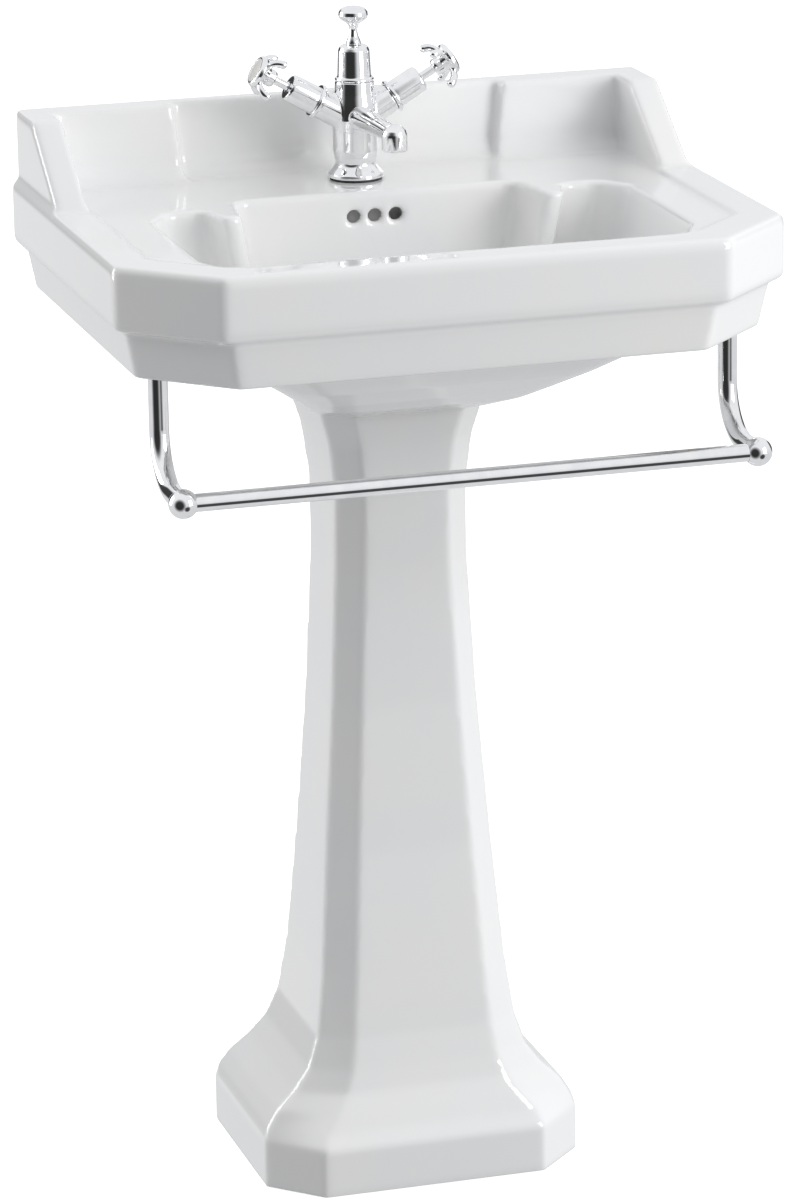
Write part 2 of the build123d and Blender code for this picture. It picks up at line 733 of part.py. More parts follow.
for name, side in hot_cold.items():
    axis = arm_axis(side)
    with BuildPart() as tail:
        # bent apart below the deck, so that the supply pipes pass on either side of the outlet
        with BuildLine() as tail_path:
            Line(tail_point(side * tail_spread, tap_foot + 9), tail_point(side * tail_spread, splay_top))
            Spline(
                tail_point(side * tail_spread, splay_top),
                tail_point(side * tail_splay, splay_foot),
                tangents=[(0, 0, -1), (0, 0, -1)],
            )
            Line(tail_point(side * tail_splay, splay_foot), tail_point(side * tail_splay, tail_low))
        with BuildSketch(Plane(tail_path.line @ 0, z_dir=(0, 0, -1))) as tail_section:
            Circle(tail_r - sizing)
        sweep(tail_section.sketch, path=tail_path.line)
        # the lower end is sized for a compression fitting
        with BuildSketch(Plane(tail_point(side * tail_splay, tail_low))) as sized_section:
            Circle(tail_r)
        extrude(sized_section.sketch, amount=sized_end)
        with BuildSketch(Plane(tail_path.line @ 0, z_dir=(0, 0, -1))) as tail_way:
            Circle(tail_bore)
        sweep(tail_way.sketch, path=tail_path.line, mode=Mode.SUBTRACT)
    save(tail.part, f"{name}_tail")

    with BuildPart() as shroud_ring:
        turned(
            [
                (cartridge_r + 1, shroud_from - 4),
                (shroud_r + 2.6, shroud_from - 4),
                (shroud_r + 3.4, shroud_from - 2.6),
                (shroud_r + 3.4, shroud_from - 1.4),
                (shroud_r + 2.6, shroud_from),
                (cartridge_r + 1, shroud_from),
            ],
            axis,
        )
    save(shroud_ring.part, f"{name}_shroud_ring")

    with BuildPart() as shroud:
        turned(
            [
                (shroud_r - 2, shroud_from),
                (shroud_r, shroud_from),
                (shroud_r, shroud_to - 4),
                (shroud_r - 1.2, shroud_to - 1.2),
                (shroud_r - 4, shroud_to),
                (spindle_r + 1.2, shroud_to),
                (spindle_r + 1.2, shroud_to - 2),
                (shroud_r - 2, shroud_to - 4),
            ],
            axis,
        )
    save(shroud.part, f"{name}_shroud")

    with BuildPart() as cartridge:
        turned(
            [
                (spindle_r + running, 24),
                (cartridge_r - thread_gap, 24),
                (cartridge_r - thread_gap, shroud_from + 12),
                (cartridge_r - 2, shroud_from + 13),
                (cartridge_r - 2, shroud_to - 5),
                (spindle_r + running, shroud_to - 5),
            ],
            axis,
        )
    save(cartridge.part, f"{name}_cartridge")

    with BuildPart() as spindle:
        turned(
            [
                (0, 22),
                (7, 22),
                (7, 24 - seam),
                (spindle_r, 24 - seam),
                (spindle_r, hub_from + 8),
                (screw_r + thread_gap, hub_from + 8),
                (screw_r + thread_gap, hub_from - 6),
                (0, hub_from - 6),
            ],
            axis,
        )
    save(spindle.part, f"{name}_spindle")

    with BuildPart() as handle:
        turned(
            [
                (spindle_r + 0.05, hub_from - 3),
                (7, hub_from - 3),
                (8.2, hub_from - 1),
                (8.2, hub_from + 4),
                (bezel_r - 4, face_at - 8),
                (bezel_r - 0.8, face_at - 6),
                (bezel_r, face_at - 4),
                (bezel_r - 0.8, face_at - 1.4),
                (bezel_r - 2.6, face_at),
                (index_r + slip, face_at),
                (index_r + slip, face_at - 2.5),
                (4.6, face_at - 2.5),
                (4.6, hub_from + 8.4),
                (spindle_r + 0.05, hub_from + 8.4),
            ],
            axis,
        )
        for turn in (45, 135, 225, 315):
            outward = Vector(0, cos(radians(turn)), 0) + across(axis) * sin(radians(turn))
            root = axis.position + axis.direction * (face_at - 8) + outward * 7
            bend = axis.position + axis.direction * (face_at - 8.5) + outward * 16
            tip = axis.position + axis.direction * (hub_from + 0.5) + outward * arm_tip_reach
            with BuildLine() as arm_path:
                ThreePointArc(root, bend, tip)
            with BuildSketch(Plane(root, z_dir=arm_path.line % 0)) as arm_section:
                Circle(arm_r)
            sweep(arm_section.sketch, path=arm_path.line)
            ball(tip, arm_tip_r, axis.direction, outward)
    save(handle.part, f"{name}_handle")

    with BuildPart() as index_plate:
        turned(
            [
                (0, face_at - 2.4),
                (index_r, face_at - 2.4),
                (index_r, face_at - 0.4),
                (index_r - 3, face_at + 0.6),
                (0, face_at + 1),
            ],
            axis,
        )
    save(index_plate.part, f"{name}_index")

    with BuildPart() as handle_screw:
        turned(
            [
                (0, hub_from - 5),
                (screw_r, hub_from - 5),
                (screw_r, hub_from + 8.4),
                (4.4, hub_from + 8.4),
                (4.4, hub_from + 11),
                (3, hub_from + 12),
                (0, hub_from + 12),
            ],
            axis,
        )
    save(handle_screw.part, f"{name}_handle_screw")

# ================================================================ pop-up waste
knob_foot = bell_peak + seam
knob_top = knob_foot + 35
with BuildPart() as lift_knob:
    turned(
        [
            (0, knob_foot),
            (6.6, knob_foot),
            (6.8, knob_foot + 1.5),
            (5.2, knob_foot + 5),
            (3.6, knob_foot + 8),
            (3.4, knob_foot + 12),
            (4.6, knob_foot + 16),
            (6.5, knob_foot + 19),
            (knob_r - 3.4, knob_foot + 21),
            (knob_r - 0.8, knob_foot + 24),
            (knob_r, knob_foot + 27),
            (knob_r - 0.8, knob_foot + 30),
            (knob_r - 4, knob_foot + 33),
            (knob_r - 9, knob_top - 0.4),
            (0, knob_top),
        ],
        tap_axis,
    )
    with BuildSketch(level(knob_foot - eps, tap_y)) as rod_socket:
        Circle(lift_rod_r + slip / 2)
    extrude(rod_socket.sketch, amount=12 + eps, mode=Mode.SUBTRACT)
save(lift_knob.part, "lift_knob")

pivot_z = base_z - 43
ball_y = waste_y + inner_arm
strap_gap = 0.15
strap_half = 5.0
strap_thick = 2.0
strap_y = tap_y - lift_rod_r - strap_gap - strap_thick
outer_arm = strap_y + strap_thick / 2 - ball_y
lever_swing = knob_lift / outer_arm
rest_tilt = lever_swing / 2
hook_z = pivot_z - outer_arm * tan(rest_tilt)
rod_low = hook_z + 28
with BuildPart() as lift_rod:
    with BuildSketch(level(rod_low, tap_y)):
        Circle(lift_rod_r)
    extrude(amount=knob_foot + 12 - rod_low)
save(lift_rod.part, "lift_rod")

rod_eye_r = pivot_rod_r + 1.0
with BuildPart() as link_strap:
    with BuildSketch(facing_wall(strap_y)) as strap_face:
        with Locations((0, hook_z + 26)):
            RectangleRounded(2 * strap_half, 72, strap_half - 0.5)
        with Locations((0, hook_z)):
            Circle(rod_eye_r, mode=Mode.SUBTRACT)
    extrude(strap_face.sketch, amount=strap_thick)
    with BuildSketch(level(rod_low + 6, tap_y)) as clamp_block:
        Rectangle(2 * strap_half, 2 * (lift_rod_r + strap_gap))
        Circle(lift_rod_r + strap_gap / 2, mode=Mode.SUBTRACT)
    extrude(clamp_block.sketch, amount=22)
save(link_strap.part, "link_strap")

with BuildPart() as strap_screws:
    for z in (rod_low + 11, rod_low + 23):
        with BuildSketch(facing_wall(tap_y + lift_rod_r + strap_gap)) as screw_head:
            with Locations((0, z)):
                Circle(3.5)
        extrude(screw_head.sketch, amount=3)
save(strap_screws.part, "strap_screws")

lever_dir = Vector(0, cos(rest_tilt), -sin(rest_tilt))
ball_point = Vector(0, ball_y, pivot_z)
with BuildPart() as pivot_rod:
    with BuildSketch(Plane(ball_point - lever_dir * (inner_arm + 6), z_dir=lever_dir)):
        Circle(pivot_rod_r)
    extrude(amount=inner_arm + 6 + outer_arm + 10)
    ball(ball_point, ball_r, Vector(1, 0, 0), lever_dir)
save(pivot_rod.part, "pivot_rod")

waste_axis = Axis((0, waste_y, 0), (0, 0, 1))
waste_seal_thick = 1.5
flange_low = floor_z + waste_seal_thick
flange_top = flange_low + 3
tube_low = base_z - 24
with BuildPart() as waste_flange_seal:
    ring(level(floor_z, waste_y), flange_r - 2, waste_hole_r - 1, waste_seal_thick)
save(waste_flange_seal.part, "waste_flange_seal")

with BuildPart() as waste_flange:
    turned(
        [
            (tube_bore, tube_low),
            (tube_r, tube_low),
            (tube_r, flange_low),
            (flange_r, flange_low),
            (flange_r, flange_low + 1),
            (flange_r - 3, flange_top),
            (tube_bore + 3, flange_top),
            (tube_bore, flange_top - 3),
        ],
        waste_axis,
    )
    with BuildSketch(facing_front(waste_y + tube_r + 2)) as slots:
        with Locations((0, passage_z + passage_high / 2)):
            Rectangle(16, passage_high)
    extrude(slots.sketch, amount=2 * tube_r + 4, mode=Mode.SUBTRACT)
save(waste_flange.part, "waste_flange")

waste_washer_thick = 3.0
waste_nut_thick = 8.0
with BuildPart() as waste_washer:
    ring(level(base_z - waste_washer_thick, waste_y), tube_r + 8, tube_r + thread_gap, waste_washer_thick)
save(waste_washer.part, "waste_washer")

with BuildPart() as waste_nut:
    with BuildSketch(level(base_z - waste_washer_thick - waste_nut_thick, waste_y)):
        RegularPolygon(tube_r + 7, 6)
        Circle(tube_r + thread_gap, mode=Mode.SUBTRACT)
    extrude(amount=waste_nut_thick)
save(waste_nut.part, "waste_nut")

collar_r = tube_r + 3
collar_top = tube_low + 11
pipe_low = pivot_z - 66
port_r = ball_r + 3.2
port_end = ball_y - waste_y + 1
with BuildPart() as waste_body:
    turned(
        [
            (tube_bore, tube_low - seam),
            (tube_r + thread_gap, tube_low - seam),
            (tube_r + thread_gap, collar_top),
            (collar_r, collar_top),
            (collar_r, tube_low - 3),
            (tube_r - 1, tube_low - 6),
            (tube_r - 1, pivot_z - 14),
            (tail_pipe_r, pivot_z - 20),
            (tail_pipe_r, pipe_low),
            (tail_pipe_r - 1.5, pipe_low),
            (tail_pipe_r - 1.5, pivot_z - 21),
            (tube_bore, pivot_z - 15),
        ],
        waste_axis,
    )
    with BuildSketch(facing_wall(waste_y + tube_bore + 0.5)) as port:
        with Locations((0, pivot_z)):
            Circle(port_r)
    extrude(port.sketch, amount=port_end - tube_bore - 0.5)
    with BuildSketch(facing_wall(waste_y)) as port_bore:
        with Locations((0, pivot_z)):
            Circle(ball_r + running)
    extrude(port_bore.sketch, amount=port_end + 1, mode=Mode.SUBTRACT)
save(waste_body.part, "waste_body")

with BuildPart() as ball_nut:
    with BuildSketch(facing_wall(waste_y + port_end - 7)) as nut_body:
        with Locations((0, pivot_z)):
            RegularPolygon(port_r + 3, 6)
            Circle(port_r + thread_gap, mode=Mode.SUBTRACT)
    extrude(nut_body.sketch, amount=7 + ball_r)
    with BuildSketch(facing_wall(waste_y + port_end + ball_r)) as nut_cap:
        with Locations((0, pivot_z)):
            RegularPolygon(port_r + 3, 6)
            Circle(pivot_rod_r + 2.2, mode=Mode.SUBTRACT)
    extrude(nut_cap.sketch, amount=3)
save(ball_nut.part, "ball_nut")

plug_drop = knob_lift * inner_arm / outer_arm
plug_seat = flange_top - 1.5 + plug_drop
eye_z = pivot_z + inner_arm * tan(rest_tilt)
eye_r = pivot_rod_r + 1.0
plug_neck_r = tube_bore - 4
plug_ring_r = tube_bore - 0.4
with BuildPart() as plug:
    turned(
        [
            (0, plug_seat - 9),
            (plug_neck_r, plug_seat - 9),
            (plug_neck_r, plug_seat - 6),
            (plug_neck_r - 2, plug_seat - 6),
            (plug_neck_r - 2, plug_seat - 2.5),
            (plug_neck_r, plug_seat - 2.5),
            (plug_neck_r, plug_seat - 1),
            (tube_bore + 1.5, plug_seat + 0.6),
            (tube_bore + 2.2, plug_seat + 1.6),
            (tube_bore - 3, plug_seat + 3.6),
            (0, plug_seat + 5),
        ],
        waste_axis,
    )
    with BuildSketch(level(eye_z + 5, waste_y)) as stem:
        Rectangle(7, 5)
    extrude(stem.sketch, amount=plug_seat - 8 - eye_z - 5)
    with BuildSketch(facing_front(waste_y + 2)) as eye:
        with Locations((0, eye_z)):
            Circle(eye_r + 3)
            Circle(eye_r, mode=Mode.SUBTRACT)
    extrude(eye.sketch, amount=4)
save(plug.part, "plug")

with BuildPart() as plug_seal:
    ring(level(plug_seat - 5.9, waste_y), plug_ring_r, plug_neck_r - 1.9, 3.3)
save(plug_seal.part, "plug_seal")

# ================================================================ trap
nut_top = pipe_low + 30
head_top = nut_top - 22
head_low = head_top - 52
cup_low = head_low - 52
outlet_z = head_top - 22
with BuildPart() as trap_inlet_nut:
    turned(
        [
            (tail_pipe_r + slip, nut_top),
            (tail_pipe_r + 4, nut_top),
            (tail_pipe_r + 6.5, nut_top - 3),
            (tail_pipe_r + 6.5, nut_top - 20),
            (tail_pipe_r + 3.6, nut_top - 20),
            (tail_pipe_r + 3.6, nut_top - 5),
            (tail_pipe_r + slip, nut_top - 5),
        ],
        waste_axis,
    )
save(trap_inlet_nut.part, "trap_inlet_nut")

dip_low = cup_low + 22
with BuildPart() as trap_body:
    turned(
        [
            (tail_pipe_r + slip, nut_top - 6),
            (tail_pipe_r + 3.2, nut_top - 6),
            (tail_pipe_r + 3.2, head_top),
            (cup_r - 3, head_top - 2),
            (cup_r - 1, head_top - 6),
            (cup_r - 1, head_low + 12),
            (cup_r - 2.4, head_low + 11),
            (cup_r - 2.4, head_low),
            (cup_r - 5, head_low),
            (cup_r - 5, head_top - 7),
            (tail_pipe_r + 2.4, head_top - 7),
            (tail_pipe_r + 2.4, dip_low),
            (tail_pipe_r + slip, dip_low),
        ],
        waste_axis,
    )
    with BuildSketch(facing_wall(waste_y + cup_r - 3)) as outlet_stub:
        with Locations((0, outlet_z)):
            Circle(outlet_r + 3)
    extrude(outlet_stub.sketch, amount=22)
    with BuildSketch(facing_wall(waste_y + tail_pipe_r + 3.2)) as outlet_bore:
        with Locations((0, outlet_z)):
            Circle(outlet_r - 1.6)
    extrude(outlet_bore.sketch, amount=40, mode=Mode.SUBTRACT)
    with BuildSketch(facing_wall(waste_y + cup_r + 5)) as outlet_socket:
        with Locations((0, outlet_z)):
            Circle(outlet_r - sizing + running)
    extrude(outlet_socket.sketch, amount=20, mode=Mode.SUBTRACT)
save(trap_body.part, "trap_body")

with BuildPart() as trap_cup_seal:
    ring(level(head_low - 2, waste_y), cup_r - 2.4, cup_r - 6, 2)
save(trap_cup_seal.part, "trap_cup_seal")

with BuildPart() as trap_cup:
    turned(
        [
            (0, cup_low),
            (cup_r - 8, cup_low),
            (cup_r - 3, cup_low + 4),
            (cup_r - 2, cup_low + 10),
            (cup_r - 2, head_low - 8),
            (cup_r, head_low - 6),
            (cup_r, head_low + 10),
            (cup_r - 2.2, head_low + 10),
            (cup_r - 2.2, head_low - 2),
            (cup_r - 4, head_low - 2),
            (cup_r - 4, cup_low + 10),
            (cup_r - 9, cup_low + 3),
            (0, cup_low + 3),
        ],
        waste_axis,
    )
save(trap_cup.part, "trap_cup")

stub_end = cup_r - 3 + 22
with BuildPart() as trap_outlet_nut:
    with BuildSketch(facing_wall(waste_y + stub_end - 10)) as sleeve:
        with Locations((0, outlet_z)):
            Circle(outlet_r + 6.5)
            Circle(outlet_r + 3 + thread_gap, mode=Mode.SUBTRACT)
    extrude(sleeve.sketch, amount=10 + seam)
    with BuildSketch(facing_wall(waste_y + stub_end + seam)) as sleeve_end:
        with Locations((0, outlet_z)):
            Circle(outlet_r + 6.5)
            Circle(outlet_r + slip, mode=Mode.SUBTRACT)
    extrude(sleeve_end.sketch, amount=5)
save(trap_outlet_nut.part, "trap_outlet_nut")

with BuildPart() as outlet_pipe:
    # the wall end is sized for a push-on coupling
    with BuildSketch(facing_front(wall)):
        with Locations((0, outlet_z)):
            Circle(outlet_r)
    extrude(amount=sized_end)
    with BuildSketch(facing_front(wall - sized_end)):
        with Locations((0, outlet_z)):
            Circle(outlet_r - sizing)
    extrude(amount=wall - sized_end - waste_y - cup_r - 6)
    with BuildSketch(facing_front(wall)):
        with Locations((0, outlet_z)):
            Circle(outlet_r - 1.5)
    extrude(amount=wall - waste_y - cup_r - 6, mode=Mode.SUBTRACT)
save(outlet_pipe.part, "outlet_pipe")

# ================================================================ towel rail
rail_z = rim_height - rail_drop
rail_y = wall - rail_from_wall
rail_x = rail_span / 2
rail_end = 3.0
for name, side in (("left", -1), ("right", 1)):
    x = side * rail_x
    with BuildPart() as hanger:
        with BuildLine() as hanger_path:
            FilletPolyline(
                (x, hanger_y, boss_z + hanger_socket - eps),
                (x, hanger_y, rail_z),
                (x, rail_y + rail_ball_r - 2, rail_z),
                radius=hanger_bend,
            )
        with BuildSketch(Plane((x, hanger_y, boss_z + hanger_socket - eps), z_dir=(0, 0, -1))):
            Circle(hanger_r)
        sweep(path=hanger_path.line)
        with Locations((x, rail_y, rail_z)):
            Sphere(rail_ball_r + seam / 2, mode=Mode.SUBTRACT)
    save(hanger.part, f"{name}_hanger")

    with BuildPart() as rail_ball:
        # half a disc with the bar's socket cut out on the inner side, turned about the bar
        with BuildSketch(Plane((x, rail_y, rail_z), x_dir=(side, 0, 0), z_dir=(0, 0, 1))) as half_ball:
            Circle(rail_ball_r)
            with Locations((0, -rail_ball_r)):
                Rectangle(2 * rail_ball_r, 2 * rail_ball_r, mode=Mode.SUBTRACT)
            with Locations((-rail_end, 0)):
                Rectangle(
                    rail_ball_r, rail_r + slip, align=(Align.MAX, Align.MIN), mode=Mode.SUBTRACT
                )
        revolve(half_ball.sketch, axis=Axis((x, rail_y, rail_z), (1, 0, 0)))
    save(rail_ball.part, f"{name}_rail_ball")

with BuildPart() as towel_rail:
    with BuildSketch(Plane((-rail_x + rail_end + seam, rail_y, rail_z), z_dir=(1, 0, 0))):
        Circle(rail_r)
        Circle(rail_r - 1.2, mode=Mode.SUBTRACT)
    extrude(amount=2 * (rail_x - rail_end - seam))
save(towel_rail.part, "towel_rail")

# collar and nut that hold each hanger up in its boss
collar_thick = 3.0
hanger_nut_thick = 7.0
with BuildPart() as hanger_collars:
    with BuildSketch(level(boss_z - collar_thick, hanger_y)):
        with GridLocations(rail_span, 1, 2, 1):
            Circle(boss_r - 1)
            Circle(hanger_r + slip, mode=Mode.SUBTRACT)
    extrude(amount=collar_thick)
save(hanger_collars.part, "hanger_collars")

with BuildPart() as hanger_nuts:
    with BuildSketch(level(boss_z - collar_thick - hanger_nut_thick, hanger_y)):
        with GridLocations(rail_span, 1, 2, 1):
            RegularPolygon(hanger_r + 3.6, 6)
            Circle(hanger_r + thread_gap, mode=Mode.SUBTRACT)
    extrude(amount=hanger_nut_thick)
save(hanger_nuts.part, "hanger_nuts")
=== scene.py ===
import bmesh, bpy
from math import cos, pi, radians, sin
from mathutils import Euler, Matrix, Vector


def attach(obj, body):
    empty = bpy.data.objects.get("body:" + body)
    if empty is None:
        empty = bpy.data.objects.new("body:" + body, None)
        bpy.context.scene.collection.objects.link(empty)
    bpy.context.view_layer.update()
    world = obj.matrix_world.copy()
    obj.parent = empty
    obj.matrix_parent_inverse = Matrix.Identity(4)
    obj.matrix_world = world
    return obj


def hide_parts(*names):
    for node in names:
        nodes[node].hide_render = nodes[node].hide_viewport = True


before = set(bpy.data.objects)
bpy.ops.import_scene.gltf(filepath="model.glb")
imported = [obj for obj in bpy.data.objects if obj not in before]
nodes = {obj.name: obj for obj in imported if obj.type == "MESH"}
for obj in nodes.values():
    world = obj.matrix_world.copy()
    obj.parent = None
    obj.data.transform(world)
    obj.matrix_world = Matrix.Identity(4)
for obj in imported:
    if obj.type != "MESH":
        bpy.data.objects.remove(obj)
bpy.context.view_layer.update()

# ---- Basin -----------------------------------------------------------------
# One vitreous china casting, slip cast in a plaster mould, dipped in white glaze and fired.
# The mould and the glaze leave every edge soft, so the casting is rounded all over.
china_white = (0.885, 0.885, 0.88, 1)
china_grain = 0.0028
china_softness = 8
china_keep = 0.32


def principled(name, colour, roughness, metallic=0.0, **sockets):
    """A material with its shader node, ready for a pattern of its own."""
    material = bpy.data.materials.new(name)
    material.use_nodes = True
    shader = material.node_tree.nodes["Principled BSDF"]
    shader.inputs["Base Color"].default_value = colour
    shader.inputs["Roughness"].default_value = roughness
    shader.inputs["Metallic"].default_value = metallic
    for socket, value in sockets.items():
        shader.inputs[socket.replace("_", " ")].default_value = value
    return material, shader


def cloud(material, scale, detail=3.0):
    """Noise that is fixed to the piece."""
    tree = material.node_tree
    place = tree.nodes.new("ShaderNodeTexCoord")
    noise = tree.nodes.new("ShaderNodeTexNoise")
    noise.inputs["Scale"].default_value = scale
    noise.inputs["Detail"].default_value = detail
    tree.links.new(place.outputs["Object"], noise.inputs["Vector"])
    return noise.outputs["Fac"]


def blend_colours(material, shader, factor, low, high):
    """Colour that drifts from one tone to the other."""
    tree = material.node_tree
    ramp = tree.nodes.new("ShaderNodeValToRGB")
    ramp.color_ramp.elements[0].position = 0.35
    ramp.color_ramp.elements[0].color = low
    ramp.color_ramp.elements[1].position = 0.65
    ramp.color_ramp.elements[1].color = high
    tree.links.new(factor, ramp.inputs["Fac"])
    tree.links.new(ramp.outputs["Color"], shader.inputs["Base Color"])


def vary_gloss(material, shader, factor, low, high):
    """Roughness that drifts between two values."""
    tree = material.node_tree
    spread = tree.nodes.new("ShaderNodeMapRange")
    spread.inputs["To Min"].default_value = low
    spread.inputs["To Max"].default_value = high
    tree.links.new(factor, spread.inputs["Value"])
    tree.links.new(spread.outputs["Result"], shader.inputs["Roughness"])


def relief(material, shader, factor, strength, distance):
    """Bump of a real height, in metres."""
    tree = material.node_tree
    bump = tree.nodes.new("ShaderNodeBump")
    bump.inputs["Strength"].default_value = strength
    bump.inputs["Distance"].default_value = distance
    tree.links.new(factor, bump.inputs["Height"])
    tree.links.new(bump.outputs["Normal"], shader.inputs["Normal"])


def glazed(name, colour):
    """Thick clear glaze over a white body: a slow ripple, a faint drift in tone."""
    material, shader = principled(name, colour, 0.06, IOR=1.52, Coat_Weight=0.35, Coat_Roughness=0.03)
    warm = tuple(c * f for c, f in zip(colour, (1.0, 0.995, 0.985, 1)))
    cool = tuple(c * f for c, f in zip(colour, (0.975, 0.982, 0.99, 1)))
    blend_colours(material, shader, cloud(material, 7.0), warm, cool)
    vary_gloss(material, shader, cloud(material, 55.0), 0.035, 0.085)
    relief(material, shader, cloud(material, 38.0, 1.0), 0.12, 0.0004)
    return material


def merged_copy(node, name):
    """A CAD node's triangles joined into one closed skin, in a new object."""
    skin = bmesh.new()
    skin.from_mesh(nodes[node].data)
    bmesh.ops.remove_doubles(skin, verts=skin.verts, dist=0.00002)
    mesh = bpy.data.meshes.new(name)
    skin.to_mesh(mesh)
    skin.free()
    piece = bpy.data.objects.new(name, mesh)
    bpy.context.scene.collection.objects.link(piece)
    return piece


def bake_modifiers(piece):
    """The piece takes the shape its modifiers give it."""
    shaped = bpy.data.meshes.new_from_object(piece.evaluated_get(bpy.context.evaluated_depsgraph_get()))
    piece.modifiers.clear()
    piece.data = shaped


def cast_soft(node, name, grain, softness, keep):
    """A casting with softened edges: rebuilt on a fine even grid, smoothed, then thinned."""
    piece = merged_copy(node, name)
    grid = piece.modifiers.new("grid", "REMESH")
    grid.mode = "VOXEL"
    grid.voxel_size = grain
    smooth = piece.modifiers.new("smooth", "SMOOTH")
    smooth.factor = 0.5
    smooth.iterations = softness
    thin = piece.modifiers.new("thin", "DECIMATE")
    thin.ratio = keep
    bake_modifiers(piece)
    piece.data.polygons.foreach_set("use_smooth", [True] * len(piece.data.polygons))
    return piece


def dress(piece, material, body, node):
    """The piece stands for a CAD node: it takes its finish and the body that it moves with."""
    piece.data.materials.clear()
    piece.data.materials.append(material)
    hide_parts(node)
    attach(piece, body)


basin_glaze = glazed("basin_glaze", china_white)
basin = cast_soft("basin", "basin_casting", china_grain, china_softness, china_keep)
dress(basin, basin_glaze, "fixed", "basin")

# ---- Pedestal --------------------------------------------------------------
# A hollow china casting, open at the back, that hides the pipes and carries the basin.
# It has the same glaze as the basin and stands on a cut-cornered plinth.
pedestal_glaze = glazed("pedestal_glaze", china_white)
pedestal = cast_soft("pedestal", "pedestal_casting", china_grain, china_softness, china_keep)
dress(pedestal, pedestal_glaze, "fixed", "pedestal")

# ---- Tap body ---------------------------------------------------------------
# A brass casting with a flared foot, a round waist and two rising branches, ground, polished and
# chromium plated. The mixed water leaves through its front and the lift rod runs down its middle.
def plated(name):
    """Bright chromium over polished metal: nearly a mirror, with faint buffing marks and a thin film of wear."""
    material, shader = principled(name, (0.92, 0.92, 0.93, 1), 0.05, 1.0)
    blend_colours(material, shader, cloud(material, 60.0), (0.88, 0.885, 0.9, 1), (0.95, 0.95, 0.95, 1))
    vary_gloss(material, shader, cloud(material, 240.0, 5.0), 0.025, 0.075)
    relief(material, shader, cloud(material, 320.0, 2.0), 0.05, 0.00005)
    return material


chrome = plated("chromium_plate")
brass_keep = 0.6
tap_body = cast_soft("tap_body", "tap_body_casting", 0.0007, 12, brass_keep)
dress(tap_body, chrome, "fixed", "tap_body")

# ---- Bell over the tap body -------------------------------------------------
# A turned brass cover with a small foot ring, straight flanks and a rounded shoulder,
# chromium plated. It drops over the neck of the body and guides the lift rod.
mm = 0.001
tap_axis = Matrix.Translation((0, 0.150, 0))


def lathe_turned(name, outline, place, ease=0.4, steps=32):
    """A piece turned on a lathe: an outline of radii and heights in millimetres, spun once round, its corners eased."""
    skin = bmesh.new()
    points = [skin.verts.new((radius * mm, 0, height * mm)) for radius, height in outline]
    for one, other in zip(points, points[1:]):
        skin.edges.new((one, other))
    bmesh.ops.spin(skin, geom=skin.verts[:] + skin.edges[:], cent=(0, 0, 0), axis=(0, 0, 1), angle=2 * pi,
                   steps=steps, use_merge=True)
    bmesh.ops.remove_doubles(skin, verts=skin.verts, dist=0.00001)
    bmesh.ops.recalc_face_normals(skin, faces=skin.faces)
    corners = [edge for edge in skin.edges
               if abs(edge.verts[0].co.z - edge.verts[1].co.z) < 1e-6 and edge.calc_face_angle(0) > radians(12)]
    bmesh.ops.bevel(skin, geom=corners, offset=ease * mm, affect="EDGES", segments=2, profile=0.5, material=-1,
                    clamp_overlap=True)
    bmesh.ops.transform(skin, matrix=place, verts=skin.verts)
    mesh = bpy.data.meshes.new(name)
    skin.to_mesh(mesh)
    skin.free()
    mesh.polygons.foreach_set("use_smooth", [True] * len(mesh.polygons))
    piece = bpy.data.objects.new(name, mesh)
    bpy.context.scene.collection.objects.link(piece)
    finer = piece.modifiers.new("finer", "SUBSURF")
    finer.levels = 1
    finer.render_levels = 1
    return piece


bell = lathe_turned(
    "tap_bell",
    [(12.8, 1003), (17.8, 1003), (18.3, 1004.5), (17.8, 1006), (16.2, 1006.6), (15.8, 1008), (14.9, 1027),
     (14.6, 1031), (13.3, 1034), (10.9, 1035.6), (7.5, 1036), (2.56, 1036), (2.56, 1031.5), (12.8, 1031.5),
     (12.8, 1003)],
    tap_axis, 0.35)
dress(bell, chrome, "fixed", "bell")

# ---- Spout ------------------------------------------------------------------
# A cast arm, oval in section, that thins towards a round nozzle with a domed cap and an open mouth.
# It is brazed to the front of the body and plated with it.
spout = cast_soft("spout", "spout_casting", 0.0006, 8, brass_keep)
dress(spout, chrome, "fixed", "spout")

# ---- Flow straightener ------------------------------------------------------
# A small moulded insert of crossed vanes, pushed into the mouth of the nozzle.


def moulded(name, colour, roughness):
    """A moulded plastic or rubber with a fine grain and slightly uneven sheen."""
    material, shader = principled(name, colour, roughness)
    lighter = tuple(min(1.0, c * 1.25 + 0.004) for c in colour[:3]) + (1,)
    blend_colours(material, shader, cloud(material, 90.0), colour, lighter)
    vary_gloss(material, shader, cloud(material, 300.0), roughness * 0.8, min(1.0, roughness * 1.2))
    relief(material, shader, cloud(material, 900.0, 5.0), 0.25, 0.00008)
    return material


def coat(material, *labels):
    """The CAD pieces that keep their own shape take this finish."""
    for label in labels:
        nodes[label].data.materials.clear()
        nodes[label].data.materials.append(material)


dark_plastic = moulded("dark_plastic", (0.03, 0.03, 0.032, 1), 0.38)
coat(dark_plastic, "flow_straightener")

# ---- Branch covers ----------------------------------------------------------
# On each branch a turned ring closes the joint and a straight plated sleeve covers the valve.
# Both are screwed over the cartridge, and the sleeve ends in a rounded shoulder.


def along_branch(side):
    """The frame of a branch: its third axis points out along the branch, from the middle of the body."""
    outward = Vector((side * cos(radians(30)), 0, 0.5))
    first = Vector((0, 1, 0))
    turned_to = Matrix((first, outward.cross(first), outward)).transposed().to_4x4()
    return Matrix.Translation((0, 0.150, 0.9647)) @ turned_to


